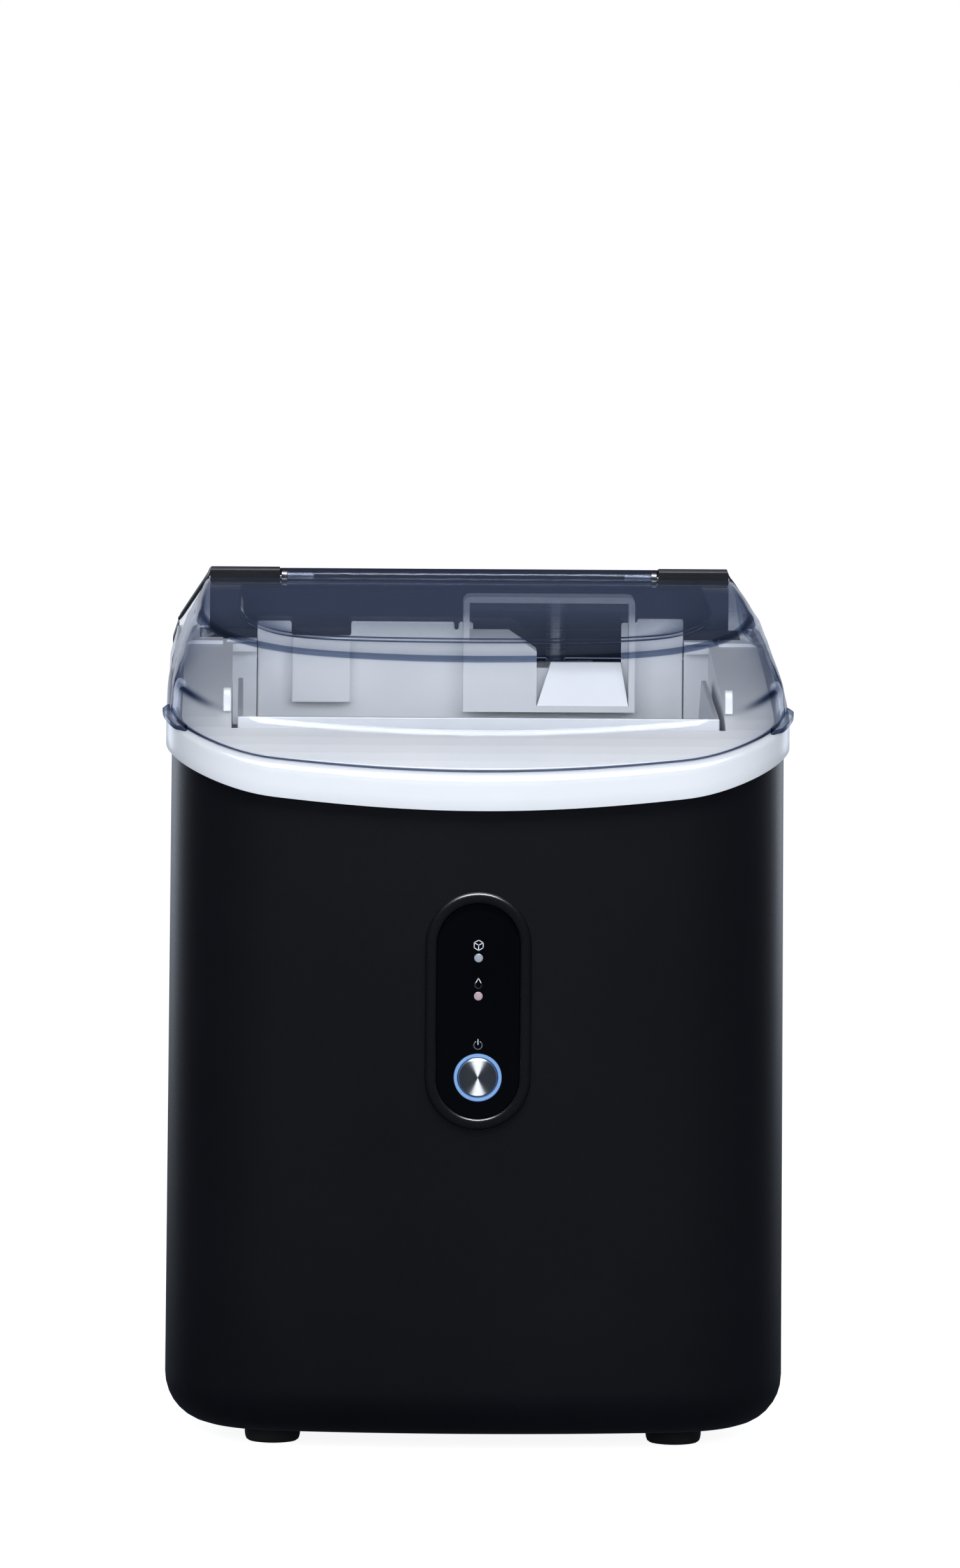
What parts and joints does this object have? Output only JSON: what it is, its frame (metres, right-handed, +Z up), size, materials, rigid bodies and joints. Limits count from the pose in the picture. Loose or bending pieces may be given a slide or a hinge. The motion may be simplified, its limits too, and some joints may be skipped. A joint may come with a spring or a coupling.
{
  "type": "ice maker",
  "caption": "Countertop nugget ice maker with a hinged smoked lid, lift-out ice basket, push button panel, auger freezer, fan-cooled machine bay and feet.",
  "frame": {"origin": "centre of the footprint, on the surface that the feet stand on", "axes": "+X to the object's right as seen from the front, +Y to its rear, +Z up"},
  "size_m": [0.2336, 0.318, 0.305],
  "materials": {
    "shell_black": "fine satin black coating",
    "trim_white": "glossy white moulding",
    "frame_white": "satin white moulding",
    "lid_smoke": "clear smoked acrylic",
    "lid_dark": "dark bush",
    "basket_clear": "frosted plastic",
    "cover_black": "satin black moulding",
    "bezel_black": "semi gloss black moulding",
    "face_black": "piano black",
    "led_clear": "diffuse lens",
    "light_blue": "blue light guide",
    "button_steel": "spun steel",
    "rubber_black": "moulded rubber",
    "steel": "plain steel",
    "alu": "bare fins",
    "copper": "copper tube",
    "bronze": "sintered bronze",
    "comp_black": "black enamel",
    "foam": "foamed insulation",
    "board_green": "circuit board",
    "gear_nylon": "nylon",
    "hose_clear": "silicone hose"
  },
  "bodies": {
    "root": {"outer_shell": "shell_black", "base_pan": "cover_black", "feet": "rubber_black", "foot_screws": "steel", "trim_ring": "trim_white", "top_frame": "frame_white", "ice_chamber": "frame_white", "insulation": "foam", "rear_panel": "cover_black", "case_screws": "steel", "rear_top_cover": "cover_black", "hinge_cap_left": "cover_black", "hinge_cap_right": "cover_black", "hinge_pins": "steel", "ice_chute": "frame_white", "water_return_cover": "frame_white", "sensor_posts": "frame_white", "panel_bezel": "bezel_black", "panel_face": "face_black", "led_ice_full": "led_clear", "led_add_water": "led_clear", "button_light_ring": "light_blue", "control_board": "board_green", "button_spring": "steel", "compressor": "comp_black", "compressor_grommets": "rubber_black", "condenser": "alu", "fan_shroud": "cover_black", "fan_motor": "comp_black", "evaporator_barrel": "steel", "evaporator_coil": "copper", "barrel_insulation": "rubber_black", "gearbox_housing": "cover_black", "gearbox_cover": "cover_black", "gear_motor": "steel", "auger_bush_lower": "bronze", "auger_bush_upper": "bronze", "extruder_head": "steel", "water_tank": "basket_clear", "water_pump": "comp_black", "water_hose": "hose_clear", "float_stem": "frame_white", "refrigerant_pipes": "copper", "suction_pipe": "copper", "filter_drier": "copper", "power_board": "board_green", "power_inlet": "cover_black", "drain_port": "cover_black"},
    "lid": {"lid_shell": "lid_smoke", "lid_hinge_barrel": "lid_smoke", "lid_bushes": "lid_dark"},
    "button": {"power_button": "button_steel"},
    "basket": {"ice_basket": "basket_clear"},
    "fan_rotor": {"fan": "cover_black"},
    "auger": {"auger_shaft": "steel", "auger_flight": "steel", "auger_gear": "gear_nylon"},
    "pinion": {"motor_pinion": "steel"},
    "float": {"water_float": "frame_white"},
    "cap": {"drain_cap": "cover_black"}
  },
  "joints": [
    {"name": "lid_hinge", "type": "hinge", "parent": "root", "child": "lid", "pos_m": [0, 0.1385, 0.3004], "axis": [-1, 0, 0], "range_deg": [0, 95]},
    {"name": "button_press", "type": "slide", "parent": "root", "child": "button", "axis": [0, 1, 0], "range_m": [0, 0.001], "stiffness_N_per_m": 700},
    {"name": "basket_lift", "type": "slide", "parent": "root", "child": "basket", "axis": [0, 0, 1], "range_m": [0, 0.006]},
    {"name": "fan_spin", "type": "hinge", "parent": "root", "child": "fan_rotor", "pos_m": [-0.058, 0.11, 0.072], "axis": [0, 1, 0], "continuous": true},
    {"name": "auger_spin", "type": "hinge", "parent": "root", "child": "auger", "pos_m": [0.0334, 0.126, 0.1], "axis": [0, 0, 1], "continuous": true},
    {"name": "pinion_spin", "type": "hinge", "parent": "root", "child": "pinion", "pos_m": [0.0634, 0.126, 0.07], "axis": [0, 0, 1], "continuous": true},
    {"name": "float_rise", "type": "slide", "parent": "root", "child": "float", "axis": [0, 0, 1], "range_m": [0, 0.045]},
    {"name": "drain_cap_pull", "type": "slide", "parent": "root", "child": "cap", "axis": [0, 1, 0], "range_m": [0, 0.016]}
  ],
  "couplings": [
    {"joint": "pinion_spin", "follows": "auger_spin", "ratio": -3}
  ]
}
